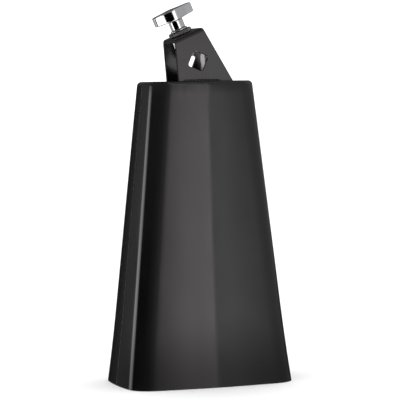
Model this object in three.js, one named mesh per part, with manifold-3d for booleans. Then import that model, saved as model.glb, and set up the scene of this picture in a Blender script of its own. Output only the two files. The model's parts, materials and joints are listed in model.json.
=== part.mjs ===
// A cowbell for a drum kit or a percussion rack, with the clamp that holds it on a rod.
// Units are millimetres and +Z is up. The origin is the centre of the mouth plane: the bell
// stands on its mouth, +X runs along its broad faces and -Y is its front.

import * as THREE from 'three';
import { mergeVertices } from 'three/addons/utils/BufferGeometryUtils.js';
import Module from 'manifold-3d';

const wasm = await Module();
wasm.setup();

// ---------------------------------------------------------------- driving dimensions

const GAP = 0.3; // clearance kept between neighbouring pieces

// The bell: a tapered box with convex sides and round corners.
const BELL_HEIGHT = 200;
const MOUTH = { width: 115.4, depth: 74.5, corner: 15, frontBulge: 2.6, sideBulge: 1.4 };
const CROWN = { width: 72.6, depth: 51, corner: 12.6, frontBulge: 1.3, sideBulge: 0.8 };
const FLARE = { height: 50, width: 0.8, depth: 3.2 }; // how far the lip opens out
const SHEET = 1.3; // bell sheet thickness
const EDGE_RADIUS = 3; // round edge between the crown and the walls
const SEAM_WIDTH = 1.6; // weld between the two half shells
const SEAM_ROOT = 0.4; // how far the weld stands proud inside

// The clamp bracket: a thicker sheet folded to an upside-down U with a sloping roof.
const SLOPE = THREE.MathUtils.degToRad(22.5); // roof slope, and the screw's tilt to -X
const BRACKET_WIDTH = 27; // over both cheeks
const BRACKET_SHEET = 2.5;
const BEND_RADIUS = 3.2; // outside radius of the two folds
const FOOT_LEFT = -15.2;
const FOOT_RIGHT = 22.4;
const ROOF_LEFT = { x: -17.3, z: 227.6 };
const APEX = { x: 1.6, z: 235.4 };
const APEX_RADIUS = 1.4;

// The rod hole: a square on its point, so that the screw drives the rod into its lower corner.
const HOLE = { x: -1.6, z: 213.2, side: 11.1, corner: 1.6 };

// Heights along the screw axis, counted from the centre of the rod hole.
const ROOF_TOP = 19.25;
const ROOF_UNDER = ROOF_TOP - BRACKET_SHEET;
const TIP = 3.4; // where the screw's end stands when the handle is screwed right down
const WELD_NUT = { acrossFlats: 13, height: 6.5 };
const LOCK_NUT = { radius: 7.9, height: 2.3, teeth: 34, toothDepth: 0.45 };
const COLLAR = { radius: 5.75, height: 0.8 };
const BARREL_RADIUS = 4.9;
const BAR = { halfLength: 14.4, top: 36.9, neck: 29.3, tip: 30.05, thickness: 5.2, corner: 1.9 };
const HANDLE_TURN = 6; // degrees the bar stands round the screw at rest, from square with the roof
const SHAFT_RADIUS = 3.85; // over an M8 thread
const BORE_RADIUS = SHAFT_RADIUS + GAP;
const SHAFT_IN_BARREL = 8;

// The weld beads along the outside of the two cheek feet.
const BEAD = { left: -12, right: 14, lumps: 6, reach: 2.4, rise: 1.9 };

// ---------------------------------------------------------------- materials

const blackPaint = new THREE.MeshStandardMaterial({ color: 0x141414, roughness: 0.36, metalness: 0.0 });
const seamPaint = new THREE.MeshStandardMaterial({ color: 0x161616, roughness: 0.42, metalness: 0.0 });
const bracketPaint = new THREE.MeshStandardMaterial({ color: 0x191919, roughness: 0.4, metalness: 0.0 });
const blackOxide = new THREE.MeshStandardMaterial({ color: 0x1c1c1e, roughness: 0.4, metalness: 0.6 });
const zincSteel = new THREE.MeshStandardMaterial({ color: 0xa9abad, roughness: 0.35, metalness: 1.0 });
const chrome = new THREE.MeshStandardMaterial({ color: 0xe6e8ea, roughness: 0.07, metalness: 1.0 });

// ---------------------------------------------------------------- solids

// A closed solid from a closed three.js geometry.
function solid(geometry) {
  const bare = geometry.clone();
  bare.deleteAttribute('normal');
  bare.deleteAttribute('uv');
  const merged = mergeVertices(bare, 1e-4);
  return new wasm.Manifold(new wasm.Mesh({
    numProp: 3,
    vertProperties: new Float32Array(merged.attributes.position.array),
    triVerts: new Uint32Array(merged.index.array),
  }));
}

// The three.js geometry of a solid.
function toGeometry(manifold) {
  const mesh = manifold.getMesh();
  const geometry = new THREE.BufferGeometry();
  geometry.setAttribute('position', new THREE.BufferAttribute(mesh.vertProperties, 3));
  geometry.setIndex(new THREE.BufferAttribute(mesh.triVerts, 1));
  geometry.computeVertexNormals();
  return geometry;
}

function piece(name, manifold, material) {
  const mesh = new THREE.Mesh(toGeometry(manifold), material);
  mesh.name = name;
  return mesh;
}

// A box between two corners.
function block(low, high) {
  const size = high.map((value, axis) => value - low[axis]);
  const geometry = new THREE.BoxGeometry(...size);
  geometry.translate(...low.map((value, axis) => value + size[axis] / 2));
  return solid(geometry);
}

// A flat outline in X and Z, made thick along Y between two values.
function slab(shape, yLow, yHigh, curveSegments = 4) {
  const settings = { depth: yHigh - yLow, bevelEnabled: false, curveSegments };
  const geometry = new THREE.ExtrudeGeometry(shape, settings);
  geometry.rotateX(Math.PI / 2);
  geometry.translate(0, yHigh, 0);
  return solid(geometry);
}

// A round piece about Z, from its closed half profile of [radius, height] points.
function turned(profile, segments = 32) {
  const points = profile.map(([radius, height]) => new THREE.Vector2(radius, height));
  const geometry = new THREE.LatheGeometry(points, segments);
  geometry.rotateX(Math.PI / 2);
  return solid(geometry);
}

// A flat ring or disc with a bore, its outline given in X and Y.
function plate(outline, bore, height) {
  const shape = new THREE.Shape(outline);
  const hole = new THREE.Path();
  hole.absarc(0, 0, bore, 0, 2 * Math.PI, true);
  shape.holes.push(hole);
  const settings = { depth: height, bevelEnabled: false, curveSegments: 16 };
  return solid(new THREE.ExtrudeGeometry(shape, settings));
}

// The points of a regular polygon, or of a toothed rim when the two radii differ.
function rim(count, outer, inner = outer) {
  const points = [];
  for (let i = 0; i < count; i += 1) {
    const radius = i % 2 ? inner : outer;
    const angle = (i / count) * 2 * Math.PI;
    points.push(new THREE.Vector2(radius * Math.cos(angle), radius * Math.sin(angle)));
  }
  return points;
}

// ---------------------------------------------------------------- the bell

const SIDE_STEPS = 2;
const CORNER_STEPS = 6;
const FRONT_STEPS = 4;

// The bell's outline at height z, moved in by inset: a ring that starts in the middle of
// the +X side and runs counter-clockwise.
function bellRing(z, inset) {
  const rise = z / BELL_HEIGHT;
  const between = (key) => THREE.MathUtils.lerp(MOUTH[key], CROWN[key], rise);
  const lip = Math.max(0, 1 - z / FLARE.height) ** 2;
  const halfWidth = (between('width') + FLARE.width * lip) / 2 - inset;
  const halfDepth = (between('depth') + FLARE.depth * lip) / 2 - inset;
  const corner = between('corner') - inset;
  const sideBulge = between('sideBulge');
  const frontBulge = between('frontBulge');
  const cornerX = halfWidth - corner - sideBulge / 2;
  const cornerY = halfDepth - corner - frontBulge / 2;
  const quarter = [];
  for (let i = 0; i < SIDE_STEPS; i += 1) {
    const share = i / SIDE_STEPS;
    quarter.push([halfWidth - sideBulge * share ** 2, cornerY * share]);
  }
  const reachX = halfWidth - sideBulge - cornerX;
  const reachY = halfDepth - frontBulge - cornerY;
  for (let i = 0; i < CORNER_STEPS; i += 1) {
    const angle = (i / CORNER_STEPS) * (Math.PI / 2);
    quarter.push([cornerX + reachX * Math.cos(angle), cornerY + reachY * Math.sin(angle)]);
  }
  for (let i = 0; i < FRONT_STEPS; i += 1) {
    const share = 1 - i / FRONT_STEPS;
    quarter.push([cornerX * share, halfDepth - frontBulge * share ** 2]);
  }
  quarter.push([0, halfDepth]);
  const half = quarter.concat(quarter.slice(0, -1).reverse().map(([x, y]) => [-x, y]));
  return half.concat(half.slice(1, -1).reverse().map(([x, y]) => [x, -y]));
}

// A solid through rings of equal count, one above the other: a prism on a regular polygon,
// each of its vertices moved onto the ring of its level.
function loft(levels) {
  const count = levels[0].ring.length;
  const steps = levels.length - 1;
  const settings = { depth: steps, steps, bevelEnabled: false };
  const prism = new THREE.ExtrudeGeometry(new THREE.Shape(rim(count, 1)), settings);
  const position = prism.attributes.position;
  for (let i = 0; i < position.count; i += 1) {
    const turn = Math.atan2(position.getY(i), position.getX(i)) / (2 * Math.PI);
    const index = (Math.round(turn * count) + count) % count;
    const level = levels[Math.round(position.getZ(i))];
    position.setXYZ(i, ...level.ring[index], level.z);
  }
  return solid(prism);
}

// The bell's body, its skin moved in by inset. The mouth end is cut at z = bottom.
function bellBody(inset, bottom) {
  const radius = EDGE_RADIUS - inset > 0.5 ? EDGE_RADIUS - inset : 0.5;
  const shoulder = BELL_HEIGHT - inset - radius;
  const levels = [bottom, 8, 17, 28, FLARE.height].map((z) => ({ z, ring: bellRing(z, inset) }));
  for (const degrees of [0, 30, 60, 90]) {
    const angle = THREE.MathUtils.degToRad(degrees);
    const z = shoulder + radius * Math.sin(angle);
    levels.push({ z, ring: bellRing(shoulder, inset + radius * (1 - Math.cos(angle))) });
  }
  return loft(levels);
}

function makeBell() {
  const far = MOUTH.width;
  const top = BELL_HEIGHT + 1;
  const skin = bellBody(0, 0);
  const wall = skin.subtract(bellBody(SHEET, -1));
  const edge = SEAM_WIDTH / 2 + GAP;
  const front = wall.intersect(block([-far, -far, -1], [far, -edge, top]));
  const rear = wall.intersect(block([-far, edge, -1], [far, far, top]));

  const seam = skin
    .subtract(bellBody(SHEET + SEAM_ROOT, -1))
    .intersect(block([-far, -SEAM_WIDTH / 2, -1], [far, SEAM_WIDTH / 2, top]));
  const crownStart = BELL_HEIGHT - EDGE_RADIUS - SHEET;
  const left = seam.intersect(block([-far, -far, -1], [0, far, crownStart - GAP]));
  const right = seam.intersect(block([0, -far, -1], [far, far, crownStart - GAP]));
  const crown = seam.intersect(block([-far, -far, crownStart], [far, far, top]));
  return [
    piece('bell_front_shell', front, blackPaint),
    piece('bell_rear_shell', rear, blackPaint),
    piece('side_seam_weld_left', left, seamPaint),
    piece('side_seam_weld_right', right, seamPaint),
    piece('crown_seam_weld', crown, seamPaint),
  ];
}

// ---------------------------------------------------------------- the clamp bracket

const BELL_TOP = BELL_HEIGHT + GAP;

// Stands a solid that is built up along Z from the rod hole's centre onto the screw axis.
// Its X then runs up the roof's slope and its Y stays the bell's Y.
function onScrewAxis(manifold) {
  return manifold.rotate([0, -THREE.MathUtils.radToDeg(SLOPE), 0]).translate([HOLE.x, 0, HOLE.z]);
}

// The folded sheet before its outline is cut: a channel along the roof's slope.
function channel() {
  const half = BRACKET_WIDTH / 2;
  const bendY = half - BEND_RADIUS;
  const bendZ = ROOF_TOP - BEND_RADIUS;
  const inner = BEND_RADIUS - BRACKET_SHEET;
  const reach = -60;
  const shape = new THREE.Shape();
  shape.moveTo(-half, reach);
  shape.lineTo(-half + BRACKET_SHEET, reach);
  shape.lineTo(-half + BRACKET_SHEET, bendZ);
  shape.absarc(-bendY, bendZ, inner, Math.PI, Math.PI / 2, true);
  shape.lineTo(bendY, bendZ + inner);
  shape.absarc(bendY, bendZ, inner, Math.PI / 2, 0, true);
  shape.lineTo(half - BRACKET_SHEET, reach);
  shape.lineTo(half, reach);
  shape.lineTo(half, bendZ);
  shape.absarc(bendY, bendZ, BEND_RADIUS, 0, Math.PI / 2, false);
  shape.lineTo(-bendY, ROOF_TOP);
  shape.absarc(-bendY, bendZ, BEND_RADIUS, Math.PI / 2, Math.PI, false);
  const length = 120;
  const settings = { depth: length, bevelEnabled: false, curveSegments: 5 };
  const geometry = new THREE.ExtrudeGeometry(shape, settings);
  geometry.translate(0, 0, -length / 2);
  // Outline X to the bell's Y, outline Y to the screw axis, depth to the roof's slope.
  const yAxis = new THREE.Vector3(0, 1, 0);
  const zAxis = new THREE.Vector3(0, 0, 1);
  const xAxis = new THREE.Vector3(1, 0, 0);
  geometry.applyMatrix4(new THREE.Matrix4().makeBasis(yAxis, zAxis, xAxis));
  return onScrewAxis(solid(geometry));
}

// The outline that both cheeks are cut to, seen from the front.
function cheekOutline() {
  const alongRoof = new THREE.Vector2(ROOF_LEFT.x - APEX.x, ROOF_LEFT.z - APEX.z).normalize();
  const alongEdge = new THREE.Vector2(FOOT_RIGHT - APEX.x, BELL_TOP - APEX.z).normalize();
  const apex = new THREE.Vector2(APEX.x, APEX.z);
  const before = apex.clone().addScaledVector(alongEdge, APEX_RADIUS);
  const after = apex.clone().addScaledVector(alongRoof, APEX_RADIUS);
  const above = 1; // the roof's own face closes the top, so the outline passes above it
  const shape = new THREE.Shape();
  shape.moveTo(FOOT_LEFT, BELL_TOP);
  shape.lineTo(FOOT_RIGHT, BELL_TOP);
  shape.lineTo(before.x, before.y);
  shape.quadraticCurveTo(APEX.x, APEX.z, after.x, after.y);
  shape.lineTo(after.x, after.y + above);
  shape.lineTo(ROOF_LEFT.x, ROOF_LEFT.z + above);
  return shape;
}

// A square with round corners, standing on one corner when the screw axis is upright.
function holeOutline() {
  const half = HOLE.side / 2;
  const flat = half - HOLE.corner;
  const shape = new THREE.Shape();
  shape.moveTo(half, -flat);
  shape.absarc(flat, flat, HOLE.corner, 0, Math.PI / 2, false);
  shape.absarc(-flat, flat, HOLE.corner, Math.PI / 2, Math.PI, false);
  shape.absarc(-flat, -flat, HOLE.corner, Math.PI, 1.5 * Math.PI, false);
  shape.absarc(flat, -flat, HOLE.corner, 1.5 * Math.PI, 2 * Math.PI, false);
  return shape;
}

function makeBracket() {
  const wide = BRACKET_WIDTH;
  const rodHole = slab(holeOutline(), -wide, wide).rotate([0, 45, 0]);
  const screwHole = turned([[0, ROOF_UNDER - 1], [BORE_RADIUS, ROOF_UNDER - 1],
    [BORE_RADIUS, ROOF_TOP + 1], [0, ROOF_TOP + 1]]);
  const bracket = channel()
    .intersect(slab(cheekOutline(), -wide, wide))
    .subtract(onScrewAxis(rodHole))
    .subtract(onScrewAxis(screwHole));
  return piece('clamp_bracket', bracket, bracketPaint);
}

// One weld bead: lumps in a row along the foot of a cheek, on its outer side.
function footWeld(name, side) {
  const face = BRACKET_WIDTH / 2 + GAP;
  const pitch = (BEAD.right - BEAD.left) / BEAD.lumps;
  const lumps = [];
  for (let i = 0; i < BEAD.lumps; i += 1) {
    const swell = 1 + 0.18 * Math.sin(2.4 * i + side);
    const lump = new THREE.SphereGeometry(1, 12, 8);
    lump.scale(pitch * 0.8, BEAD.reach * swell, BEAD.rise * swell);
    lump.translate(BEAD.left + pitch * (i + 0.5), side * face, BELL_TOP);
    lumps.push(solid(lump));
  }
  const outside = side < 0
    ? block([BEAD.left - 5, -face - 9, BELL_TOP], [BEAD.right + 5, -face, BELL_TOP + 9])
    : block([BEAD.left - 5, face, BELL_TOP], [BEAD.right + 5, face + 9, BELL_TOP + 9]);
  return piece(name, wasm.Manifold.union(lumps).intersect(outside), seamPaint);
}

// ---------------------------------------------------------------- the thumb screw

const NUT_TOP = ROOF_UNDER - GAP;
const LOCK_NUT_BOTTOM = ROOF_TOP + GAP;
const COLLAR_BOTTOM = LOCK_NUT_BOTTOM + LOCK_NUT.height + GAP;
const BARREL_BOTTOM = COLLAR_BOTTOM + COLLAR.height + GAP;

function makeWeldNut() {
  const hexRadius = WELD_NUT.acrossFlats / Math.sqrt(3);
  const nut = plate(rim(6, hexRadius), BORE_RADIUS, WELD_NUT.height);
  return piece('weld_nut', onScrewAxis(nut.translate([0, 0, NUT_TOP - WELD_NUT.height])), zincSteel);
}

function makeLockNut() {
  const outline = rim(2 * LOCK_NUT.teeth, LOCK_NUT.radius, LOCK_NUT.radius - LOCK_NUT.toothDepth);
  const nut = plate(outline, BORE_RADIUS, LOCK_NUT.height);
  return piece('lock_nut', onScrewAxis(nut.translate([0, 0, LOCK_NUT_BOTTOM])), blackOxide);
}

function makeCollar() {
  const collar = turned([
    [BORE_RADIUS, 0],
    [COLLAR.radius - 0.2, 0],
    [COLLAR.radius, 0.2],
    [COLLAR.radius, COLLAR.height - 0.2],
    [COLLAR.radius - 0.2, COLLAR.height],
    [BORE_RADIUS, COLLAR.height],
    [BORE_RADIUS, 0],
  ]);
  return piece('screw_collar', onScrewAxis(collar.translate([0, 0, COLLAR_BOTTOM])), chrome);
}

function makeShaft() {
  const top = BARREL_BOTTOM + SHAFT_IN_BARREL;
  const point = SHAFT_RADIUS - 0.9;
  const shaft = turned([
    [0, TIP],
    [point, TIP],
    [SHAFT_RADIUS, TIP + 0.9],
    [SHAFT_RADIUS, top - 0.6],
    [SHAFT_RADIUS - 0.6, top],
    [0, top],
  ], 24);
  return piece('screw_shaft', onScrewAxis(shaft), zincSteel);
}

// The cast T-handle: a round barrel with a tapered bar across its head.
function makeHandle() {
  const corner = BAR.corner;
  const end = BAR.halfLength;
  const shape = new THREE.Shape();
  shape.moveTo(0, BAR.neck);
  shape.lineTo(end - corner, BAR.tip);
  shape.quadraticCurveTo(end, BAR.tip, end, BAR.tip + corner);
  shape.lineTo(end, BAR.top - corner);
  shape.quadraticCurveTo(end, BAR.top, end - corner, BAR.top);
  shape.lineTo(-end + corner, BAR.top);
  shape.quadraticCurveTo(-end, BAR.top, -end, BAR.top - corner);
  shape.lineTo(-end, BAR.tip + corner);
  shape.quadraticCurveTo(-end, BAR.tip, -end + corner, BAR.tip);
  const bevel = 0.7;
  const geometry = new THREE.ExtrudeGeometry(shape, {
    depth: BAR.thickness - 2 * bevel,
    bevelEnabled: true,
    bevelThickness: bevel,
    bevelSize: bevel,
    bevelOffset: -bevel,
    bevelSegments: 2,
    curveSegments: 4,
  });
  geometry.rotateX(Math.PI / 2);
  geometry.translate(0, BAR.thickness / 2 - bevel, 0);

  const barrelTop = BAR.top - 0.1;
  const barrel = turned([
    [0, BARREL_BOTTOM],
    [BARREL_RADIUS, BARREL_BOTTOM],
    [BARREL_RADIUS, barrelTop - 0.9],
    [BARREL_RADIUS - 0.9, barrelTop],
    [0, barrelTop],
  ], 40);
  const boreTop = BARREL_BOTTOM + SHAFT_IN_BARREL + GAP;
  const bore = turned([[0, BARREL_BOTTOM - 1], [BORE_RADIUS, BARREL_BOTTOM - 1],
    [BORE_RADIUS, boreTop], [0, boreTop]]);
  const handle = solid(geometry).add(barrel).subtract(bore);
  return piece('t_handle', onScrewAxis(handle.rotate([0, 0, HANDLE_TURN])), chrome);
}

// ---------------------------------------------------------------- the assembly

const cowbell = new THREE.Group();
cowbell.name = 'cowbell';
cowbell.add(...makeBell());
cowbell.add(makeBracket());
cowbell.add(footWeld('foot_weld_front', -1));
cowbell.add(footWeld('foot_weld_rear', 1));
cowbell.add(makeWeldNut());
cowbell.add(makeLockNut());
cowbell.add(makeCollar());
cowbell.add(makeShaft());
cowbell.add(makeHandle());

export default cowbell;
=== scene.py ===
# A steel cowbell with its rod clamp and thumb screw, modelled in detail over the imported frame.
# Lengths in this script are millimetres; make_piece() turns them into metres.

import json
import math

import bmesh
import bpy
import numpy as np
from mathutils import Matrix, Quaternion, Vector, noise


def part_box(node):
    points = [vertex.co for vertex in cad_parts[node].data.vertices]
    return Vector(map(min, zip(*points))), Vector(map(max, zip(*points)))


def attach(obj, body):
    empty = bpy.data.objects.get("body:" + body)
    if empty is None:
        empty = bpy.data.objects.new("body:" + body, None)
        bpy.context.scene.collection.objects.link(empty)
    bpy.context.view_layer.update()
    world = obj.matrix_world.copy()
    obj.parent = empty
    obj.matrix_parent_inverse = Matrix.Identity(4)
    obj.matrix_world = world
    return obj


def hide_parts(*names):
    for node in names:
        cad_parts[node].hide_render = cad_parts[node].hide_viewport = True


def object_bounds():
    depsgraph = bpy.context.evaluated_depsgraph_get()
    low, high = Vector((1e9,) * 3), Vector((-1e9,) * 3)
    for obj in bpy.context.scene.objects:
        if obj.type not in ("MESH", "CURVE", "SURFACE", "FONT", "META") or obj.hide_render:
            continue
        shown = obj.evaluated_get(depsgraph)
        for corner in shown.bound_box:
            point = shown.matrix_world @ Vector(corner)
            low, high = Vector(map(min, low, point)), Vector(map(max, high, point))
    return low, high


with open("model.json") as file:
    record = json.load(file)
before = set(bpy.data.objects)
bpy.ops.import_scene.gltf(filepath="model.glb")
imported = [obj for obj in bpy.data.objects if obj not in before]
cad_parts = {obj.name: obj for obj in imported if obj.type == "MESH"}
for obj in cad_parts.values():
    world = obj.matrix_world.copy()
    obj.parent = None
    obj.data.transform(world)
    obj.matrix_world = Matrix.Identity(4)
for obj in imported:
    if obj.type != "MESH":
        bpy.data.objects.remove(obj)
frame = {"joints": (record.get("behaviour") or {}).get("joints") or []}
cad_low, cad_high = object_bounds()

MM = 0.001

# ------------------------------------------------------------------ dimensions

HEIGHT = (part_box("crown_seam_weld")[1].z - cad_low.z) / MM
MOUTH = {"width": 115.4, "depth": 74.5, "corner": 15.0, "front": 2.6, "side": 1.4}
CROWN = {"width": 72.6, "depth": 51.0, "corner": 12.6, "front": 1.3, "side": 0.8}
FLARE = {"height": 50.0, "width": 0.8, "depth": 3.2}
SHEET = 1.3
EDGE_RADIUS = 3.0
WALL_LEAN = math.radians(5.4)  # of the wall where it meets the shoulder
RIM_RADIUS = 0.45
FRONT_CREASE = 0.3  # share of the front's bulge that folds at its middle line
SEAM_HALF = 0.8
SEAM_ROOT = 0.4

BRACKET_HALF = 13.5
BRACKET_SHEET = 2.5
BEND_RADIUS = 3.2
FOOT_LEFT, FOOT_RIGHT = -15.2, 22.4
ROOF_LEFT = Vector((-17.3, 227.6))
APEX = Vector((1.6, 235.4))
APEX_RADIUS = 1.4
ROD_HOLE_SIDE, ROD_HOLE_CORNER = 11.1, 1.6

# Heights along the screw axis, counted from the middle of the rod hole.
ROOF_TOP = 19.25
TIP = 3.4
NUT_FLATS, NUT_HEIGHT = 13.0, 6.5
LOCK_BOTTOM, LOCK_HEIGHT, LOCK_RADIUS, LOCK_TEETH = 19.55, 2.3, 7.9, 34
COLLAR_BOTTOM, COLLAR_TOP, COLLAR_RADIUS = 22.15, 23.15, 5.75
BARREL_BOTTOM, BARREL_TOP, BARREL_RADIUS = 23.25, 36.85, 4.9
BAR_HALF, BAR_TOP, BAR_NECK, BAR_TIP = 14.4, 36.9, 29.3, 30.05
BAR_THICK, BAR_THIN = 3.7, 2.2  # half thickness at the middle and at the tips
HANDLE_FILLET = 4.8
HANDLE_TURN = math.radians(6)
THREAD_RADIUS, THREAD_ROOT, THREAD_PITCH = 3.85, 3.28, 1.25
BORE_RADIUS = 4.15

screw_joint = next(j for j in frame["joints"] if j["name"] == "handle_turn")
SCREW_AXIS = Vector(screw_joint["axis"]).normalized()
SCREW_POINT = Vector(screw_joint["pos_m"])
ROOF_AXIS = Vector((0, 1, 0)).cross(SCREW_AXIS)


def screw_place():
    """Stands a piece that is built up along Z on the screw axis, its X up the roof's slope."""
    turn = Matrix((ROOF_AXIS, Vector((0, 1, 0)), SCREW_AXIS)).transposed()
    return Matrix.Translation(SCREW_POINT) @ turn.to_4x4()


ON_SCREW = screw_place()
IN_PLACE = Matrix.Identity(4)

# ------------------------------------------------------------------ mesh building


class Skin:
    """Vertices and faces of a piece, laid down row by row."""

    def __init__(self):
        self.points = []
        self.faces = []

    def row(self, points):
        start = len(self.points)
        self.points.extend(tuple(p) for p in points)
        return list(range(start, len(self.points)))

    def join(self, first, second, closed=False):
        count = len(first)
        for i in range(count if closed else count - 1):
            j = (i + 1) % count
            self.faces.append((first[i], first[j], second[j], second[i]))

    def sweep(self, rows, closed=False, looped=False):
        indices = [self.row(points) for points in rows]
        for first, second in zip(indices, indices[1:]):
            self.join(first, second, closed)
        if looped:
            self.join(indices[-1], indices[0], closed)
        return indices

    def fan(self, row, tip):
        centre = self.row([tip])[0]
        for i, index in enumerate(row):
            self.faces.append((index, row[(i + 1) % len(row)], centre))


def mesh_from(name, points, faces):
    mesh = bpy.data.meshes.new(name)
    mesh.from_pydata([tuple(c * MM for c in p) for p in points], [], faces)
    work = bmesh.new()
    work.from_mesh(mesh)
    bmesh.ops.remove_doubles(work, verts=work.verts, dist=1e-6)
    bmesh.ops.recalc_face_normals(work, faces=work.faces)
    work.to_mesh(mesh)
    work.free()
    return mesh


def place_piece(mesh, name, material, body, nodes, placed, sharp=None):
    if sharp is not None:
        mesh.shade_smooth()
        mesh.set_sharp_from_angle(angle=math.radians(sharp))
    mesh.materials.append(material)
    obj = bpy.data.objects.new(name, mesh)
    bpy.context.scene.collection.objects.link(obj)
    obj.matrix_world = placed
    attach(obj, body)
    if nodes:
        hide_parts(*nodes)
    return obj


def make_piece(name, skin, material, body, nodes, placed=IN_PLACE, sharp=35):
    mesh = mesh_from(name, skin.points, skin.faces)
    return place_piece(mesh, name, material, body, nodes, placed, sharp)


def mix(low, high, share):
    return low + (high - low) * share


def steps(start, end, count):
    return [mix(start, end, i / count) for i in range(count + 1)]


# ------------------------------------------------------------------ materials


class Shader:
    """A Principled material with a few short ways to add nodes to it."""

    def __init__(self, name, **values):
        self.material = bpy.data.materials.new(name)
        self.material.use_nodes = True
        self.tree = self.material.node_tree
        self.nodes = self.tree.nodes
        self.surface = self.nodes["Principled BSDF"]
        for key, value in values.items():
            self.surface.inputs[key.replace("_", " ")].default_value = value
        self.place = self.nodes.new("ShaderNodeTexCoord").outputs["Object"]

    def link(self, source, target):
        self.tree.links.new(source, target)

    def noise(self, scale, detail=3.0, rough=0.5, stretch=(1, 1, 1)):
        node = self.nodes.new("ShaderNodeTexNoise")
        node.inputs["Scale"].default_value = scale
        node.inputs["Detail"].default_value = detail
        node.inputs["Roughness"].default_value = rough
        scaled = self.nodes.new("ShaderNodeMapping")
        scaled.inputs["Scale"].default_value = stretch
        self.link(self.place, scaled.inputs["Vector"])
        self.link(scaled.outputs["Vector"], node.inputs["Vector"])
        return node.outputs["Fac"]

    def cells(self, scale):
        node = self.nodes.new("ShaderNodeTexVoronoi")
        node.inputs["Scale"].default_value = scale
        self.link(self.place, node.inputs["Vector"])
        return node.outputs["Distance"]

    def parts(self, vector):
        split = self.nodes.new("ShaderNodeSeparateXYZ")
        self.link(vector, split.inputs["Vector"])
        return [split.outputs[axis] for axis in "XYZ"]

    def window(self, source, low, high, soft):
        """1 where the source lies between low and high, fading out over soft outside them."""
        return self.maths("MULTIPLY", self.remap(source, low, low + soft),
                          self.remap(source, high, high - soft))

    def remap(self, source, low, high, to_low=0.0, to_high=1.0):
        node = self.nodes.new("ShaderNodeMapRange")
        node.interpolation_type = "SMOOTHSTEP"
        limits = {"From Min": low, "From Max": high, "To Min": to_low, "To Max": to_high}
        for key, value in limits.items():
            node.inputs[key].default_value = value
        self.link(source, node.inputs["Value"])
        return node.outputs["Result"]

    def maths(self, operation, first, second):
        node = self.nodes.new("ShaderNodeMath")
        node.operation = operation
        for socket, value in zip(node.inputs, (first, second)):
            if isinstance(value, (int, float)):
                socket.default_value = value
            else:
                self.link(value, socket)
        return node.outputs["Value"]

    def tint(self, share, low, high):
        node = self.nodes.new("ShaderNodeMix")
        node.data_type = "RGBA"
        for key, value in (("A", low), ("B", high)):
            socket = next(s for s in node.inputs if s.name == key and s.type == "RGBA")
            if isinstance(value, tuple):
                socket.default_value = (*value, 1.0)
            else:
                self.link(value, socket)
        self.link(share, node.inputs["Factor"])
        return next(s for s in node.outputs if s.type == "RGBA")

    def bump(self, *layers):
        """Each layer is (height source, strength, depth in millimetres), coarse to fine."""
        normal = None
        for source, strength, depth in layers:
            node = self.nodes.new("ShaderNodeBump")
            node.inputs["Strength"].default_value = strength
            node.inputs["Distance"].default_value = depth * MM
            self.link(source, node.inputs["Height"])
            if normal:
                self.link(normal, node.inputs["Normal"])
            normal = node.outputs["Normal"]
        self.link(normal, self.surface.inputs["Normal"])

    def colour(self, source):
        self.link(source, self.surface.inputs["Base Color"])

    def roughness(self, source):
        self.link(source, self.surface.inputs["Roughness"])

    def metal(self, source):
        self.link(source, self.surface.inputs["Metallic"])


# Where bare steel shows, in metres: round the hole, and a patch beside the rear one, put there
# for its look only.
RUB_REACH = 0.0082
RUB_PATCH_X, RUB_PATCH_HALF_HEIGHT = (0.0082, 0.0116), 0.0066
REAR_CHEEK_INSIDE = (0.0106, 0.0109)


def rubbed_by_rod(paint):
    """1 where bare steel shows: the walls of the rod's hole, and a patch that is a guess."""
    x, y, z = paint.parts(paint.place)
    facing = paint.parts(paint.nodes.new("ShaderNodeTexCoord").outputs["Normal"])[1]
    across = paint.maths("SUBTRACT", x, SCREW_POINT.x)
    up = paint.maths("SUBTRACT", z, SCREW_POINT.z)
    squares = [paint.maths("MULTIPLY", side, side) for side in (across, up)]
    away = paint.maths("SQRT", paint.maths("ADD", *squares), 0.0)
    near = paint.remap(away, RUB_REACH, RUB_REACH - 0.0002)
    wall = paint.remap(paint.maths("ABSOLUTE", facing, 0.0), 0.6, 0.4)
    ragged = paint.maths("MULTIPLY", paint.maths("SUBTRACT", paint.noise(600, 3), 0.5), 0.0016)
    patch = paint.window(paint.maths("ADD", x, ragged), *RUB_PATCH_X, 0.0006)
    tall = paint.remap(paint.maths("ABSOLUTE", up, 0.0),
                       RUB_PATCH_HALF_HEIGHT, RUB_PATCH_HALF_HEIGHT - 0.0008)
    inside = paint.maths("MULTIPLY", paint.remap(y, *REAR_CHEEK_INSIDE),
                         paint.remap(facing, -0.5, -0.8))
    patch = paint.maths("MULTIPLY", paint.maths("MULTIPLY", patch, tall), inside)
    return paint.maths("MAXIMUM", paint.maths("MULTIPLY", near, wall), patch)


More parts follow.
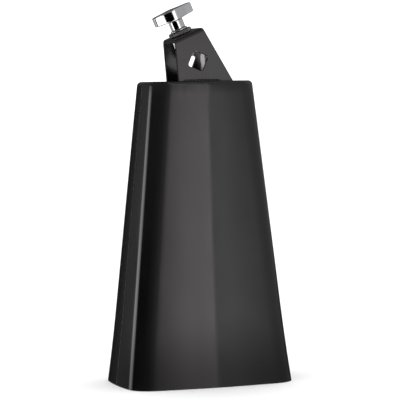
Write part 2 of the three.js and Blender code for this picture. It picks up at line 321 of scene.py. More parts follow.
def black_paint(name, gloss, mouth_wear_and_shade=False, rubbed=False):
    """Satin black enamel: orange peel, grit, faint scuffs, wear where it is asked for, and a
    painted shade at the mouth.
    """
    paint = Shader(name, IOR=1.5)
    broad = paint.noise(26, 4)
    peel = paint.noise(900, 2, 0.4)
    grit = paint.noise(5200, 2)
    scuff = paint.remap(paint.noise(60, 5, 0.6, (9, 9, 0.6)), 0.62, 0.78)
    specks = paint.remap(paint.cells(420), 0.07, 0.03)
    shade = paint.tint(broad, (0.0016, 0.0016, 0.0017), (0.0034, 0.0033, 0.0033))
    shade = paint.tint(paint.maths("MULTIPLY", specks, 0.35), shade, (0.03, 0.029, 0.027))
    if rubbed:
        bare = rubbed_by_rod(paint)
        shade = paint.tint(bare, shade, (0.24, 0.235, 0.23))
        paint.metal(bare)
    # With this flag: chips of wear at the rim, and a painted shade that turns the reflection down
    # towards the mouth.
    if mouth_wear_and_shade:
        height = paint.parts(paint.place)[2]
        chips = paint.remap(paint.noise(700, 4, 0.6), 0.52, 0.62)
        worn = paint.maths("MULTIPLY", paint.remap(height, 0.0012, 0.0), chips)
        shade = paint.tint(paint.maths("MULTIPLY", worn, 0.6), shade, (0.05, 0.045, 0.04))
        # Painted shade: the reflection falls to about half towards the mouth, so the bell's foot
        # reads darker.
        painted_mouth_shade = paint.remap(height, 0.004, 0.05, 0.24, 0.5)
        paint.link(painted_mouth_shade, paint.surface.inputs["Specular IOR Level"])
    paint.colour(shade)
    level = paint.remap(broad, 0.3, 0.7, gloss - 0.03, gloss + 0.04)
    level = paint.maths("ADD", level, paint.maths("MULTIPLY", scuff, 0.06))
    paint.roughness(paint.maths("ADD", level, paint.maths("MULTIPLY", specks, 0.2)))
    paint.bump((peel, 0.10, 0.05), (grit, 0.06, 0.01))
    return paint.material


def weld_paint():
    """The same enamel over ground weld metal: the ripples show through."""
    paint = Shader("painted weld", IOR=1.5)
    lumps = paint.noise(520, 3, 0.55)
    grit = paint.noise(2600, 3)
    paint.colour(paint.tint(lumps, (0.0036, 0.0036, 0.0037), (0.0085, 0.0082, 0.008)))
    paint.roughness(paint.remap(lumps, 0.3, 0.7, 0.2, 0.34))
    paint.bump((lumps, 0.5, 0.12), (grit, 0.25, 0.03))
    return paint.material


def chrome_plate():
    """Bright chrome over a casting: soft waves, hairlines and a few pits."""
    chrome = Shader("chrome", Metallic=1.0)
    waves = chrome.noise(220, 2)
    hairs = chrome.noise(90, 4, 0.65, (40, 40, 2))
    pits = chrome.remap(chrome.cells(900), 0.10, 0.04)
    shade = chrome.tint(waves, (0.60, 0.61, 0.62), (0.68, 0.685, 0.69))
    chrome.colour(chrome.tint(chrome.maths("MULTIPLY", pits, 0.4), shade, (0.25, 0.24, 0.23)))
    level = chrome.remap(hairs, 0.35, 0.75, 0.045, 0.11)
    chrome.roughness(chrome.maths("ADD", level, chrome.maths("MULTIPLY", pits, 0.2)))
    chrome.bump((waves, 0.12, 0.12), (hairs, 0.02, 0.02))
    return chrome.material


def zinc_plate():
    """Zinc plated steel: cloudy, slightly yellow, dull."""
    zinc = Shader("zinc plate", Metallic=1.0)
    clouds = zinc.noise(330, 5, 0.6)
    streaks = zinc.noise(120, 4, 0.6, (1, 1, 14))
    zinc.colour(zinc.tint(clouds, (0.42, 0.41, 0.385), (0.60, 0.60, 0.595)))
    zinc.roughness(zinc.remap(clouds, 0.3, 0.7, 0.26, 0.44))
    zinc.bump((streaks, 0.12, 0.03), (clouds, 0.1, 0.03))
    return zinc.material


def black_oxide():
    """Blackened steel with random patches rubbed bright."""
    oxide = Shader("black oxide", Metallic=0.85)
    mottle = oxide.noise(420, 5, 0.6)
    grain = oxide.noise(2400, 3)
    rubbed = oxide.remap(mottle, 0.6, 0.74)
    oxide.colour(oxide.tint(rubbed, (0.16, 0.16, 0.162), (0.50, 0.495, 0.485)))
    oxide.roughness(oxide.remap(mottle, 0.3, 0.7, 0.2, 0.34))
    oxide.bump((grain, 0.25, 0.03))
    return oxide.material


# The bell's enamel carries the rim wear and the painted shade towards the mouth.
PAINT = black_paint("satin black enamel", 0.13, mouth_wear_and_shade=True)
BRACKET_PAINT = black_paint("bracket enamel", 0.2, rubbed=True)
WELD = weld_paint()
CHROME = chrome_plate()
ZINC = zinc_plate()
OXIDE = black_oxide()

# ------------------------------------------------------------------ the bell

SIDE_STEPS, CORNER_STEPS, FRONT_STEPS = 6, 18, 16


def section(z, inset):
    """Half width, half depth, corner radius and the two bulges at height z."""
    rise = z / HEIGHT
    lip = max(0.0, 1 - z / FLARE["height"]) ** 2
    sizes = {key: mix(MOUTH[key], CROWN[key], rise) for key in MOUTH}
    half_width = (sizes["width"] + FLARE["width"] * lip) / 2 - inset
    half_depth = (sizes["depth"] + FLARE["depth"] * lip) / 2 - inset
    return half_width, half_depth, sizes["corner"] - inset, sizes["side"], sizes["front"]


def corner_arc(half_width, half_depth, radius, side, front):
    """Centre of the corner arc and the angles it turns past the two bulging walls."""
    side_turn = front_turn = 0.0
    for _ in range(5):
        x = half_width - side - radius * math.cos(side_turn)
        y = half_depth - front - radius * math.cos(front_turn)
        side_turn = math.atan(2 * side / (y + radius * math.sin(side_turn)))
        steepest = (2 - FRONT_CREASE) * front
        front_turn = math.atan(steepest / (x + radius * math.sin(front_turn)))
    return x, y, side_turn, front_turn


def half_ring(z, inset, edge):
    """The front half of the bell's outline, from the +X side round to the -X side."""
    half_width, half_depth, radius, side, front = section(z, inset)
    x, y, side_turn, front_turn = corner_arc(half_width, half_depth, radius, side, front)
    reach_x = x + radius * math.sin(front_turn)
    reach_y = y + radius * math.sin(side_turn)
    quarter = [(half_width - side * (v / reach_y) ** 2, v)
               for v in steps(edge, reach_y, SIDE_STEPS)]
    for angle in steps(side_turn, math.pi / 2 - front_turn, CORNER_STEPS)[1:]:
        quarter.append((x + radius * math.cos(angle), y + radius * math.sin(angle)))
    for u in steps(reach_x, 0.0, FRONT_STEPS)[1:]:
        share = u / reach_x
        quarter.append((u, half_depth - front * mix(share ** 2, share, FRONT_CREASE)))
    half = quarter + [(-u, v) for u, v in reversed(quarter[:-1])]
    return [(u, -v) for u, v in half]


def shoulder(radius, inset, count):
    """(height, section height, inset) of the rows that round the wall into the crown."""
    top = HEIGHT - inset
    start = top - radius * (1 - math.sin(WALL_LEAN))
    rows = []
    for angle in steps(WALL_LEAN, math.pi / 2, count):
        height = start + radius * (math.sin(angle) - math.sin(WALL_LEAN))
        rows.append((height, start, inset + radius * (math.cos(WALL_LEAN) - math.cos(angle))))
    return rows


def press_mark(x, y, z):
    """How far the pressed sheet strays from its true surface."""
    soft = noise.noise(Vector((x / 34, y / 30, z / 46))) * 0.10
    near_top = max(0.0, 1 - abs(z - (HEIGHT - 2)) / 7)
    rough = noise.noise(Vector((x / 4.2, y / 9, z / 3.1))) * 0.22 * near_top
    return soft + rough


def shell_rows():
    inner_radius = EDGE_RADIUS - SHEET
    outer = shoulder(EDGE_RADIUS, 0.0, 9)
    inner = shoulder(inner_radius, SHEET, 9)
    heights = steps(RIM_RADIUS, outer[0][1], 34)[:-1]
    inner_heights = steps(RIM_RADIUS, inner[0][1], 34)[:-1]
    rows = list(reversed(inner)) + [(z, z, SHEET) for z in reversed(inner_heights)]
    rows += [(RIM_RADIUS - RIM_RADIUS * math.sin(a), 0.0, SHEET - RIM_RADIUS * (1 - math.cos(a)))
             for a in steps(0, math.pi / 2, 4)[1:]]
    rows += [(RIM_RADIUS - RIM_RADIUS * math.cos(a), 0.0, RIM_RADIUS * (1 - math.sin(a)))
             for a in steps(0, math.pi / 2, 4)[:-1]]
    rows += [(z, z, 0.0) for z in heights] + outer
    return rows


def make_shell(name, side, node):
    """One pressed half of the bell: side -1 is the front one, +1 the rear one."""
    skin = Skin()
    rows = []
    for height, level, inset in shell_rows():
        ring = []
        for x, y in half_ring(level, inset, SEAM_HALF):
            stray = press_mark(x, y * side, height)
            length = math.hypot(x, y * 1.6)
            ring.append((x + stray * x / length * 0.4,
                         -side * (y - stray * abs(y) * 1.6 / length),
                         height))
        rows.append(ring)
    indices = skin.sweep(rows)
    crown_edge = side * SEAM_HALF
    for row, previous in ((rows[0], indices[0]), (rows[-1], indices[-1])):
        reach = abs(row[0][0])
        for share in steps(0, 1, 8)[1:]:
            line = []
            for i, point in enumerate(row):
                goal = mix(reach, -reach, i / (len(row) - 1))
                line.append((mix(point[0], goal, share),
                             mix(point[1], crown_edge, share),
                             point[2]))
            current = skin.row(line)
            skin.join(previous, current)
            previous = current
    for column in (0, -1):
        edge = [row[column] for row in indices]
        half = len(edge) // 2
        skin.join(edge[:half], list(reversed(edge))[:half])
    return make_piece(name, skin, PAINT, "bell", [node])


def side_x(z, inset, y):
    half_width, half_depth, radius, side, front = section(z, inset)
    reach = corner_arc(half_width, half_depth, radius, side, front)[1]
    return half_width - side * (y / reach) ** 2


def make_seam(name, node, path):
    """A weld strip along a path of (outer x, inner x, outer z, inner z) points."""
    skin = Skin()
    across = steps(-SEAM_HALF, SEAM_HALF, 8)
    rows = []
    for outer, inner in path:
        direction = (outer - inner).normalized()
        row = []
        for y in across:
            ripple = noise.noise(Vector((outer.x / 1.7, y / 1.1, outer.y / 1.7)))
            crest = 0.05 * (1 - (y / SEAM_HALF) ** 2) + 0.02 * ripple
            point = outer + direction * crest
            row.append((point.x, y, point.y))
        for y in reversed(across):
            ripple = noise.noise(Vector((inner.x / 1.3 + 9, y / 0.9, inner.y / 1.1)))
            crest = 0.35 * (1 - (y / SEAM_HALF) ** 2) * (1 + 0.35 * ripple)
            point = inner - direction * crest
            row.append((point.x, y, point.y))
        rows.append(row)
    ends = skin.sweep(rows, closed=True)
    skin.faces.append(tuple(ends[0]))
    skin.faces.append(tuple(ends[-1]))
    return make_piece(name, skin, WELD, "bell", [node], sharp=50)


def make_seams():
    break_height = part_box("crown_seam_weld")[0].z / MM
    for name, side in (("left", -1), ("right", 1)):
        path = []
        for z in steps(0.0, break_height, 120):
            path.append((Vector((side * side_x(z, 0, 0), z)),
                         Vector((side * side_x(z, SHEET, 0), z))))
        make_seam(f"{name}_side_seam", f"side_seam_weld_{name}", path)
    outer = [(side_x(level, inset, 0), z) for z, level, inset in shoulder(EDGE_RADIUS, 0.0, 9)]
    inner = [(side_x(level, inset, 0), z)
             for z, level, inset in shoulder(EDGE_RADIUS - SHEET, SHEET, 9)]
    half = [(Vector(o), Vector(i)) for o, i in zip(outer, inner)]
    half.insert(0, (Vector((side_x(break_height, 0, 0), break_height)),
                    Vector((side_x(break_height, SHEET, 0), break_height))))
    edge_out, edge_in = half[-1]
    flat = [(Vector((mix(edge_out.x, 0, s), edge_out.y)), Vector((mix(edge_in.x, 0, s), edge_in.y)))
            for s in steps(0, 1, 34)[1:]]
    right = half + flat
    left = [(Vector((-o.x, o.y)), Vector((-i.x, i.y))) for o, i in reversed(right[:-1])]
    make_seam("crown_seam", "crown_seam_weld", right + left)


make_shell("front_shell", -1, "bell_front_shell")
make_shell("rear_shell", 1, "bell_rear_shell")
make_seams()

# ------------------------------------------------------------------ the clamp bracket


def prism(outline, low, high, place):
    """A closed prism from low to high over an outline; place(u, v, w) gives each point."""
    skin = Skin()
    count = len(outline)
    near = skin.row(place(u, v, low) for u, v in outline)
    far = skin.row(place(u, v, high) for u, v in outline)
    skin.join(near, far, closed=True)
    skin.faces.append(tuple(near))
    skin.faces.append(tuple(reversed(far)))
    return skin


def arc(centre, radius, start, end, count):
    return [(centre[0] + radius * math.cos(a), centre[1] + radius * math.sin(a))
            for a in steps(math.radians(start), math.radians(end), count)]


def scratch_object(name, skin, placed=IN_PLACE):
    obj = bpy.data.objects.new(name, mesh_from(name, skin.points, skin.faces))
    bpy.context.scene.collection.objects.link(obj)
    obj.matrix_world = placed
    return obj


def channel():
    """The folded sheet: an upside-down U along the roof's slope."""
    half = BRACKET_HALF
    bend_y, bend_z = half - BEND_RADIUS, ROOF_TOP - BEND_RADIUS
    inner = BEND_RADIUS - BRACKET_SHEET
    reach = -60
    outline = [(half, reach)] + arc((bend_y, bend_z), BEND_RADIUS, 0, 90, 10)
    outline += arc((-bend_y, bend_z), BEND_RADIUS, 90, 180, 10) + [(-half, reach)]
    outline += [(-half + BRACKET_SHEET, reach)]
    outline += arc((-bend_y, bend_z), inner, 180, 90, 6) + arc((bend_y, bend_z), inner, 90, 0, 6)
    outline += [(half - BRACKET_SHEET, reach)]
    return prism(outline, -60, 60, lambda u, v, w: (w, u, v))


def cheek_outline():
    """What the cheeks are cut to, seen from the front; its foot stands on the crown."""
    along_roof = (ROOF_LEFT - APEX).normalized()
    along_edge = (Vector((FOOT_RIGHT, HEIGHT)) - APEX).normalized()
    before = APEX + along_edge * APEX_RADIUS
    after = APEX + along_roof * APEX_RADIUS
    outline = [(FOOT_LEFT, HEIGHT), (FOOT_RIGHT, HEIGHT)]
    for share in steps(0, 1, 5):
        point = before.lerp(APEX, share).lerp(APEX.lerp(after, share), share)
        outline.append(tuple(point))
    return outline + [(after.x, after.y + 1), (ROOF_LEFT.x, ROOF_LEFT.y + 1)]


def rod_hole_outline():
    half = ROD_HOLE_SIDE / 2
    flat = half - ROD_HOLE_CORNER
    outline = []
    corners = ((flat, flat, 0), (-flat, flat, 90), (-flat, -flat, 180), (flat, -flat, 270))
    for x, y, start in corners:
        outline += arc((x, y), ROD_HOLE_CORNER, start, start + 90, 6)
    quarter = math.sqrt(0.5)
    return [((u - v) * quarter, (u + v) * quarter) for u, v in outline]


def make_bracket():
    body = scratch_object("bracket_blank", channel(), ON_SCREW)
    body.data.shade_smooth()
    cheeks = prism(cheek_outline(), -20, 20, lambda u, v, w: (u, w, v))
    rod = prism(rod_hole_outline(), -20, 20, lambda u, v, w: (u, w, v))
    bore = prism(arc((0, 0), BORE_RADIUS, 0, 360, 48)[:-1], ROOF_TOP - 4, ROOF_TOP + 2,
                 lambda u, v, w: (u, v, w))
    cutters = [
        (scratch_object("cheek_cut", cheeks), "INTERSECT"),
        (scratch_object("rod_cut", rod, ON_SCREW), "DIFFERENCE"),
        (scratch_object("bore_cut", bore, ON_SCREW), "DIFFERENCE"),
    ]
    for cutter, operation in cutters:
        change = body.modifiers.new(operation, "BOOLEAN")
        change.operation = operation
        change.solver = "EXACT"
        change.object = cutter
    soften = body.modifiers.new("soften", "BEVEL")
    soften.width = 0.8 * MM
    soften.segments = 4
    soften.limit_method = "ANGLE"
    soften.angle_limit = math.radians(38)
    soften.harden_normals = True
    graph = bpy.context.evaluated_depsgraph_get()
    mesh = bpy.data.meshes.new_from_object(body.evaluated_get(graph))
    mesh.transform(ON_SCREW)
    mesh.name = "bracket"
    for obj in [body] + [cutter for cutter, _ in cutters]:
        bpy.data.objects.remove(obj)
    return place_piece(mesh, "bracket", BRACKET_PAINT, "bell",
                       ["clamp_bracket"], IN_PLACE)


def make_bead(name, side, node):
    """A hand-laid weld bead along the foot of one cheek: overlapping ripples."""
    low, high = -12.5, 14.5
    skin = Skin()
    rows = []
    for x in steps(low, high, 150):
        share = (x - low) / (high - low)
        ends = math.sqrt(max(0.0, 1 - (2 * share - 1) ** 6))
        puddle = 1 - 0.22 * (((x - low) / 1.9) % 1.0) ** 2
        lumps = 1 + 0.30 * noise.noise(Vector((x / 3.1, side * 3.0, 0)))
        reach = 1.9 * ends * puddle * lumps + 0.02
        rise = 1.25 * ends * puddle * lumps + 0.02
        row = []
        for angle in steps(0, math.pi / 2, 12):
            spot = Vector((x / 0.8, math.cos(angle) * 3, math.sin(angle) * 3))
            grain = 1 + 0.06 * noise.noise(spot)
            y = BRACKET_HALF - 0.1 + reach * math.cos(angle) ** 0.85 * grain
            row.append((x, side * y, HEIGHT - 0.05 + rise * math.sin(angle) ** 0.85 * grain))
        row.append((x, side * (BRACKET_HALF - 0.3), HEIGHT - 0.05))
        rows.append(row)
    ends = skin.sweep(rows, closed=True)
    skin.faces.append(tuple(ends[0]))
    skin.faces.append(tuple(ends[-1]))
    return make_piece(name, skin, WELD, "bell", [node], sharp=60)


make_bracket()
make_bead("front_foot_bead", -1, "foot_weld_front")
make_bead("rear_foot_bead", 1, "foot_weld_rear")

# ------------------------------------------------------------------ the thumb screw


def polar(radius_at, profile, count):
    """Rows of a turned piece; profile gives (height, radius) rows as functions of the angle."""
    rows = []
    for row in profile:
        points = []
        for i in range(count):
            angle = 2 * math.pi * i / count
            radius, height = row(radius_at(angle))
            points.append((radius * math.cos(angle), radius * math.sin(angle), height))
        rows.append(points)
    return rows


def make_weld_nut():
    top = ROOF_TOP - BRACKET_SHEET - 0.05
    bottom = top - NUT_HEIGHT
    flat = NUT_FLATS / 2
    bore = 4.02

    def hexagon(angle):
        return flat / math.cos((angle % (math.pi / 3)) - math.pi / 6)

    def chamfer(radius):
        return (radius - flat) * math.tan(math.radians(30)) + 0.05

    profile = [
        lambda r: (bore, top - 0.6),
        lambda r: (bore + 0.6, top),
        lambda r: (flat - 0.1, top),
        lambda r: (r, top - chamfer(r)),
        lambda r: (r, bottom + chamfer(r)),
        lambda r: (flat - 0.1, bottom),
        lambda r: (bore + 0.6, bottom),
        lambda r: (bore, bottom + 0.6),
    ]
    skin = Skin()
    skin.sweep(polar(hexagon, profile, 96), closed=True, looped=True)
    return make_piece("hex_weld_nut", skin, ZINC, "bell", ["weld_nut"],
                      ON_SCREW, 25)


def make_lock_nut():
    low, high = LOCK_BOTTOM, LOCK_BOTTOM + LOCK_HEIGHT
    depth = 0.55

    def knurl(angle):
        return abs(((angle * LOCK_TEETH / (2 * math.pi)) % 1.0) * 2 - 1)

    def level(radius, share, height):
        """A row whose teeth are cut to a share of their full depth."""
        return lambda k: (radius - depth * share * min(1.0, max(0.0, (k - 0.15) / 0.7)), height)

    profile = [
        lambda k: (BORE_RADIUS, low + 0.3),
        lambda k: (BORE_RADIUS + 0.3, low),
        level(LOCK_RADIUS - 0.62, 0.0, low),
        level(LOCK_RADIUS - 0.3, 0.4, low + 0.14),
        level(LOCK_RADIUS, 1.0, low + 0.5),
        level(LOCK_RADIUS, 1.0, high - 0.5),
        level(LOCK_RADIUS - 0.3, 0.4, high - 0.14),
        level(LOCK_RADIUS - 0.62, 0.0, high),
        lambda k: (BORE_RADIUS + 1.6, high),
        lambda k: (BORE_RADIUS + 1.4, high - 0.15),
        lambda k: (BORE_RADIUS + 0.3, high - 0.15),
        lambda k: (BORE_RADIUS, high - 0.45),
    ]
    skin = Skin()
    skin.sweep(polar(knurl, profile, LOCK_TEETH * 10), closed=True, looped=True)
    return make_piece("knurled_lock_nut", skin, OXIDE, "lock_nut", ["lock_nut"],
                      ON_SCREW, 28)


def make_collar():
    low, high = COLLAR_BOTTOM, COLLAR_TOP
    middle, rounding = (low + high) / 2, (high - low) / 2
    rim = [(COLLAR_RADIUS - rounding + rounding * math.cos(a), middle + rounding * math.sin(a))
           for a in steps(-math.pi / 2, math.pi / 2, 12)]
    outline = [(BORE_RADIUS, low + 0.05), (BORE_RADIUS + 0.1, low)] + rim
    outline += [(BORE_RADIUS + 0.1, high), (BORE_RADIUS, high - 0.05)]
    skin = Skin()
    profile = [lambda _, point=point: point for point in outline]
    skin.sweep(polar(lambda _: 0, profile, 96), closed=True, looped=True)
    return make_piece("bright_collar", skin, CHROME, "handle", ["screw_collar"],
                      ON_SCREW, 50)


def thread_radius(turn, height):
    """A rounded V thread: crest and root flats with flanks between them."""
    phase = (height / THREAD_PITCH - turn) % 1.0
    flank = abs(phase * 2 - 1)
    share = min(1.0, max(0.0, (flank - 0.14) / 0.66))
    return mix(THREAD_ROOT, THREAD_RADIUS, share * share * (3 - 2 * share))


def make_shaft():
    low, high = TIP, BARREL_BOTTOM + 0.9
    count = 48
    skin = Skin()
    rows = [[(0.02 * math.cos(a), 0.02 * math.sin(a), low)
             for a in steps(0, 2 * math.pi, count)[:-1]]]
    for z in steps(low, high, int((high - low) / THREAD_PITCH * 14)):
        row = []
        for i in range(count):
            turn = i / count
            chamfer = THREAD_RADIUS - 1.1 + (z - low)
            radius = min(thread_radius(turn, z), chamfer)
            angle = 2 * math.pi * turn
            row.append((radius * math.cos(angle), radius * math.sin(angle), z))
        rows.append(row)
    indices = skin.sweep(rows, closed=True)
    skin.fan(indices[0], (0, 0, low))
    skin.fan(indices[-1], (0, 0, high))
    return make_piece("threaded_shaft", skin, ZINC, "screw", ["screw_shaft"],
                      ON_SCREW, 60)


def blend_min(a, b, width):
    h = np.clip(0.5 + 0.5 * (b - a) / width, 0, 1)
    return b + (a - b) * h - width * h * (1 - h)


def blend_max(a, b, width):
    return -blend_min(-a, -b, width)


def handle_distance(p):
    """Distance field of the cast T-handle: a tapered bar that swells into a round barrel."""
    x, y, z = p.T
    out = np.minimum(np.abs(x) / BAR_HALF, 1.1)
    low = BAR_NECK + (BAR_TIP - BAR_NECK) * out
    high = BAR_TOP - 0.25 * out ** 3
    radial = np.hypot(x, y)
    flank = np.abs(y) - mix(BAR_THICK, BAR_THIN, out)
    plan = blend_max(flank, np.abs(x) - BAR_HALF, 1.0)
    plan = blend_min(plan, radial - BARREL_RADIUS, HANDLE_FILLET)
    bar = blend_max(plan, np.abs(z - (high + low) / 2) - (high - low) / 2, 0.9)
    middle = (BARREL_BOTTOM + BARREL_TOP) / 2
    barrel_half = (BARREL_TOP - BARREL_BOTTOM) / 2
    barrel = blend_max(radial - BARREL_RADIUS, np.abs(z - middle) - barrel_half, 0.9)
    handle = blend_min(bar, barrel, 0.5)
    recess = np.maximum(radial - BORE_RADIUS, z - BARREL_BOTTOM - 1.2)
    return np.maximum(handle, -recess)


def handle_blank(cell):
    """Cubes of the cell size that lie inside the handle, as a boundary mesh."""
    skin = Skin()
    low = np.array([-BAR_HALF - 1, -BARREL_RADIUS - 1, BARREL_BOTTOM - 1])
    high = np.array([BAR_HALF + 1, BARREL_RADIUS + 1, BAR_TOP + 1])
    axes = [np.arange(a, b, cell) for a, b in zip(low, high)]
    grid = np.stack(np.meshgrid(*axes, indexing="ij"), axis=-1)
    inside = handle_distance(grid.reshape(-1, 3)).reshape(grid.shape[:3]) < 0
    corners = {}

    def corner(i, j, k):
        if (i, j, k) not in corners:
            corners[i, j, k] = len(skin.points)
            skin.points.append(tuple(low + (np.array([i, j, k]) - 0.5) * cell))
        return corners[i, j, k]

    for axis in range(3):
        other = [a for a in range(3) if a != axis]
        shifted = np.roll(inside, -1, axis=axis)
        for cell_index in np.argwhere(inside != shifted):
            base = cell_index.copy()
            base[axis] += 1
            loop = []
            for u, v in ((0, 0), (1, 0), (1, 1), (0, 1)):
                at = base.copy()
                at[other[0]] += u
                at[other[1]] += v
                loop.append(corner(*at))
            skin.faces.append(tuple(loop))
    return skin


def settle(points, rounds=8):
    """Moves points along the field's gradient until they lie on its surface."""
    reach = 1e-3
    for _ in range(rounds):
        value = handle_distance(points)
        slope = np.empty_like(points)
        for axis in range(3):
            offset = np.zeros(3)
            offset[axis] = reach
            rise = handle_distance(points + offset) - handle_distance(points - offset)
            slope[:, axis] = rise / (2 * reach)
        size = np.maximum((slope ** 2).sum(axis=1), 0.2)
        points = points - slope * np.clip(value / size, -0.3, 0.3)[:, None]
    return points


def relax(mesh, points, weight):
    """Evens the mesh out: each point moves towards the mean of its neighbours."""
    pairs = np.array([e.vertices[:] for e in mesh.edges])
    total = np.zeros_like(points)
    count = np.zeros(len(points))
    for a, b in ((0, 1), (1, 0)):
        np.add.at(total, pairs[:, a], points[pairs[:, b]])
        np.add.at(count, pairs[:, a], 1)
    return mix(points, total / count[:, None], weight)


def make_handle():
    skin = handle_blank(0.3)
    mesh = mesh_from("t_handle", skin.points, skin.faces)
    points = np.array([v.co for v in mesh.vertices], float).reshape(-1, 3) / MM
    for _ in range(10):
        points = settle(relax(mesh, points, 0.6), rounds=2)
    points = settle(points)
    mesh.vertices.foreach_set("co", (points * MM).ravel())
    mesh.update()
    return place_piece(mesh, "cast_t_handle", CHROME, "handle", ["t_handle"],
                       ON_SCREW @ Matrix.Rotation(HANDLE_TURN, 4, "Z"), 40)


make_weld_nut()
make_lock_nut()
make_collar()
make_shaft()
make_handle()

# ------------------------------------------------------------------ floor and light


def make_floor():
    skin = Skin()
    reach = 12000
    corners = skin.row([(-reach, -reach, 0), (reach, -reach, 0),
                        (reach, reach, 0), (-reach, reach, 0)])
    skin.faces.append(tuple(corners))
    mesh = mesh_from("floor", skin.points, skin.faces)
    card = Shader("pale card", IOR=1.3)
    card.colour(card.tint(card.noise(40, 4), (0.93, 0.93, 0.93), (0.95, 0.95, 0.95)))
    card.roughness(card.remap(card.noise(300, 3), 0.3, 0.7, 0.7, 0.8))
    mesh.materials.append(card.material)
    floor = bpy.data.objects.new("floor", mesh)
    bpy.context.scene.collection.objects.link(floor)
    floor.location.z = cad_low.z - 0.02 * MM
    floor.visible_glossy = False


# The studio as reflections see it, in four bands from the floor up: (azimuth in degrees,
# brightness), where 0 is straight in front of the bell and -90 to its left.
DEEP_FLOOR_LIGHT = [
    (-180, 0.5), (-104, 0.5), (-100, 2.6), (-84, 2.6), (-80, 0.0), (-2, 0.0), (7, 2.3),
    (28, 2.2), (36, 0.55), (180, 0.5),
]
FLOOR_LIGHT = [
    (-180, 0.01), (-166, 0.05), (-158, 0.12), (-145, 0.16), (-140, 2.8), (-122, 2.8),
    (-114, 0.0), (-2, 0.0), (7, 2.3), (28, 2.2), (36, 0.55), (52, 0.5), (64, 0.05),
    (180, 0.01),
]
WALL_LIGHT = [
    (-180, 0.01), (-166, 0.05), (-158, 0.14), (-145, 0.18), (-140, 2.4), (-122, 2.4),
    (-114, 0.0), (-60, 0.0), (-28, 0.15), (0, 0.45), (6, 0.8), (9, 1.6), (12, 2.2),
    (15, 1.9), (17.5, 2.7), (18.5, 2.7), (19.5, 1.2), (22, 1.0), (24, 1.45), (27, 1.05),
    (32, 0.7), (60, 0.55), (100, 0.35), (140, 0.2), (165, 0.05), (180, 0.01),
]
CEILING_LIGHT = [
    (-180, 0.1), (-90, 0.2), (-28, 0.2), (6, 0.5), (12, 1.1), (18.3, 1.7), (19.5, 0.65),
    (35, 0.5), (110, 0.5), (150, 0.1), (180, 0.1),
]
LIGHT_PEAK = 4.0
WARM, WARM_SPAN = (1.04, 0.97, 0.98), (-5, 19)  # the front light is a little warmer
STUDIO_RADIUS = 30000
DEEP_BAND = (-14.0, -8.0)  # degrees over which one band gives way to the next
FLOOR_BAND = (-2.1, -1.0)
CEILING_BAND = (3.0, 15.0)


def ring_light(tree, share, levels):
    """A colour ramp that runs once round the studio."""
    ramp = tree.nodes.new("ShaderNodeValToRGB")
    stops = ramp.color_ramp.elements
    for azimuth, _ in levels[1:-1]:
        stops.new((azimuth + 180) / 360)
    for stop, (azimuth, brightness) in zip(stops, levels):
        tone = WARM if WARM_SPAN[0] < azimuth < WARM_SPAN[1] else (1.0, 1.0, 1.0)
        stop.color = (*[brightness * channel / LIGHT_PEAK for channel in tone], 1.0)
    tree.links.new(share, ramp.inputs["Fac"])
    return ramp.outputs["Color"]


def band_mix(tree, height, band, below, above):
    """Changes from one colour to the other over a band of elevations."""
    rise = tree.nodes.new("ShaderNodeMapRange")
    rise.interpolation_type = "SMOOTHSTEP"
    for key, angle in zip(("From Min", "From Max"), band):
        rise.inputs[key].default_value = math.sin(math.radians(angle)) * STUDIO_RADIUS * MM
    tree.links.new(height, rise.inputs["Value"])
    blend = tree.nodes.new("ShaderNodeMix")
    blend.data_type = "RGBA"
    first, second = [s for s in blend.inputs if s.type == "RGBA"]
    tree.links.new(below, first)
    tree.links.new(above, second)
    tree.links.new(rise.outputs["Result"], blend.inputs["Factor"])
    return next(s for s in blend.outputs if s.type == "RGBA")


def studio_light():
    material = bpy.data.materials.new("studio light")
    material.use_nodes = True
    tree = material.node_tree
    tree.nodes.clear()
    add = tree.nodes.new
    split = add("ShaderNodeSeparateXYZ")
    tree.links.new(add("ShaderNodeTexCoord").outputs["Object"], split.inputs["Vector"])
    back = add("ShaderNodeMath")
    back.operation = "MULTIPLY"
    back.inputs[1].default_value = -1.0
    tree.links.new(split.outputs["Y"], back.inputs[0])
    angle = add("ShaderNodeMath")
    angle.operation = "ARCTAN2"
    tree.links.new(split.outputs["X"], angle.inputs[0])
    tree.links.new(back.outputs["Value"], angle.inputs[1])
    share = add("ShaderNodeMapRange")
    share.inputs["From Min"].default_value = -math.pi
    share.inputs["From Max"].default_value = math.pi
    tree.links.new(angle.outputs["Value"], share.inputs["Value"])
    colour = ring_light(tree, share.outputs["Result"], DEEP_FLOOR_LIGHT)
    bands = ((DEEP_BAND, FLOOR_LIGHT), (FLOOR_BAND, WALL_LIGHT), (CEILING_BAND, CEILING_LIGHT))
    for band, levels in bands:
        above = ring_light(tree, share.outputs["Result"], levels)
        colour = band_mix(tree, split.outputs["Z"], band, colour, above)
    glow = add("ShaderNodeEmission")
    glow.inputs["Strength"].default_value = LIGHT_PEAK
    tree.links.new(colour, glow.inputs["Color"])
    output = add("ShaderNodeOutputMaterial")
    tree.links.new(glow.outputs["Emission"], output.inputs["Surface"])
    material.cycles.emission_sampling = "NONE"
    return material


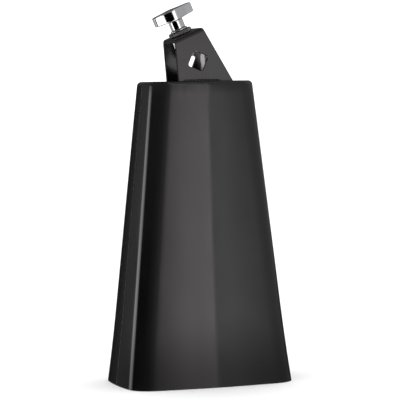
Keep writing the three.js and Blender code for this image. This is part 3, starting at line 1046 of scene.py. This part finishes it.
def make_studio():
    """A wide globe round the bell that only reflections see."""
    skin = Skin()
    rows = []
    for lift in steps(-86, 86, 43):
        level = math.cos(math.radians(lift)) * STUDIO_RADIUS
        tall = math.sin(math.radians(lift)) * STUDIO_RADIUS
        rows.append([(level * math.cos(a), level * math.sin(a), tall)
                     for a in steps(0, 2 * math.pi, 90)[:-1]])
    indices = skin.sweep(rows, closed=True)
    skin.fan(indices[0], (0, 0, -STUDIO_RADIUS))
    skin.fan(indices[-1], (0, 0, STUDIO_RADIUS))
    mesh = mesh_from("studio", skin.points, skin.faces)
    mesh.materials.append(studio_light())
    studio = bpy.data.objects.new("studio", mesh)
    bpy.context.scene.collection.objects.link(studio)
    studio.location.z = cad_high.z / 2
    studio.visible_camera = False
    studio.visible_diffuse = False
    studio.visible_shadow = False
    studio.visible_transmission = False
    studio.visible_volume_scatter = False


def make_world():
    world = bpy.data.worlds.new("white studio")
    world.use_nodes = True
    background = world.node_tree.nodes["Background"]
    background.inputs["Color"].default_value = (1.0, 1.0, 1.0, 1.0)
    background.inputs["Strength"].default_value = 1.4
    bpy.context.scene.world = world


make_floor()
make_studio()
make_world()

# ------------------------------------------------------------------ camera

AZIMUTH, ELEVATION, ROLL = map(math.radians, (-19.0, 3.21, -0.933))
DISTANCE = 1.416
LOOK_OFFSET = Vector((2.3, -0.8, -5.35)) * MM
VIEW_ANGLE = math.radians(10.755)


def make_camera():
    target = (cad_low + cad_high) / 2 + LOOK_OFFSET
    back = Vector((math.sin(AZIMUTH) * math.cos(ELEVATION),
                   -math.cos(AZIMUTH) * math.cos(ELEVATION),
                   math.sin(ELEVATION)))
    data = bpy.data.cameras.new("camera")
    data.sensor_width = 36.0
    data.lens = data.sensor_width / 2 / math.tan(VIEW_ANGLE / 2)
    data.clip_start, data.clip_end = 0.01, 100.0
    camera = bpy.data.objects.new("camera", data)
    bpy.context.scene.collection.objects.link(camera)
    camera.rotation_mode = "QUATERNION"
    camera.location = target + back * DISTANCE
    camera.rotation_quaternion = (-back).to_track_quat("-Z", "Y") @ Quaternion((0, 0, 1), ROLL)
    bpy.context.scene.camera = camera


make_camera()
bpy.context.scene.view_settings.view_transform = "Standard"
bpy.context.scene.view_settings.look = "None"
